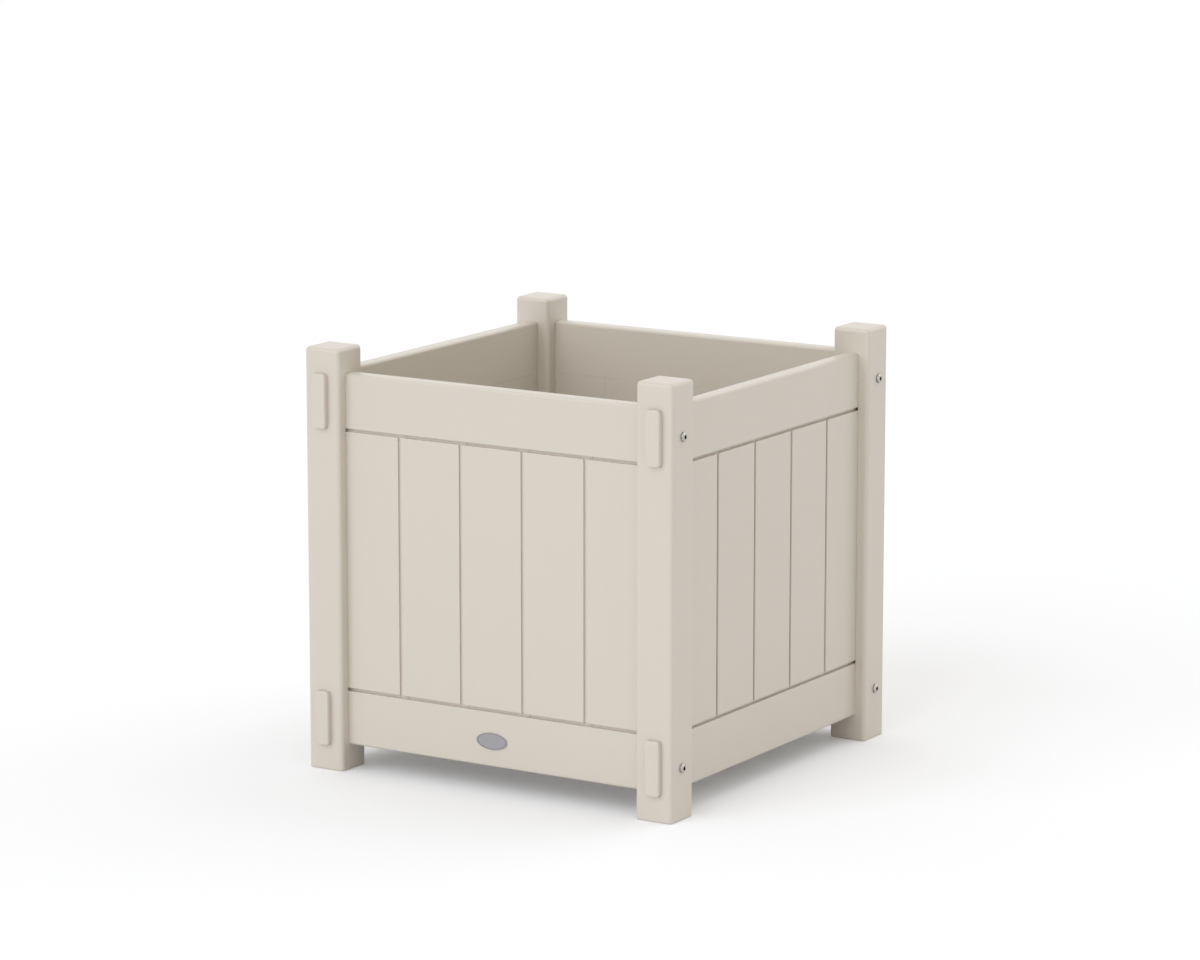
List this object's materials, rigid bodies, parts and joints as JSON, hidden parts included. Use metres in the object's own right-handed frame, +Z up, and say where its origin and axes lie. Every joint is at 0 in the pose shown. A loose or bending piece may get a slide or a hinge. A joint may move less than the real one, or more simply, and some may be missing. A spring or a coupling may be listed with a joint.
{
  "type": "square planter box",
  "caption": "Square planter box with corner posts, panels of upright boards between rails, tenon ends standing out of the front posts and a slatted floor.",
  "frame": {"origin": "on the ground under the middle of the box", "axes": "+Z up, front with the oval plate facing -Y, +X to the right seen from the front"},
  "size_m": [0.5102, 0.5172, 0.508],
  "materials": {
    "lumber": "matte, finely grained sand-coloured recycled plastic lumber",
    "screw_steel": "stainless steel, satin",
    "plate_metal": "satin grey cast plate, blank"
  },
  "bodies": {
    "root": {"post_front_left": "lumber", "post_front_right": "lumber", "post_back_right": "lumber", "post_back_left": "lumber", "rail_top_front": "lumber", "rail_top_right": "lumber", "rail_top_back": "lumber", "rail_top_left": "lumber", "rail_bottom_front": "lumber", "rail_bottom_right": "lumber", "rail_bottom_back": "lumber", "rail_bottom_left": "lumber", "board_front_1": "lumber", "board_front_2": "lumber", "board_front_3": "lumber", "board_front_4": "lumber", "board_front_5": "lumber", "board_right_1": "lumber", "board_right_2": "lumber", "board_right_3": "lumber", "board_right_4": "lumber", "board_right_5": "lumber", "board_back_1": "lumber", "board_back_2": "lumber", "board_back_3": "lumber", "board_back_4": "lumber", "board_back_5": "lumber", "board_left_1": "lumber", "board_left_2": "lumber", "board_left_3": "lumber", "board_left_4": "lumber", "board_left_5": "lumber", "floor_cleat_left": "lumber", "floor_cleat_right": "lumber", "floor_slat_1": "lumber", "floor_slat_2": "lumber", "floor_slat_3": "lumber", "floor_slat_4": "lumber", "floor_slat_5": "lumber", "frame_screws": "screw_steel", "slat_screws": "screw_steel", "cleat_screws": "screw_steel", "oval_plate": "plate_metal"}
  },
  "joints": []
}
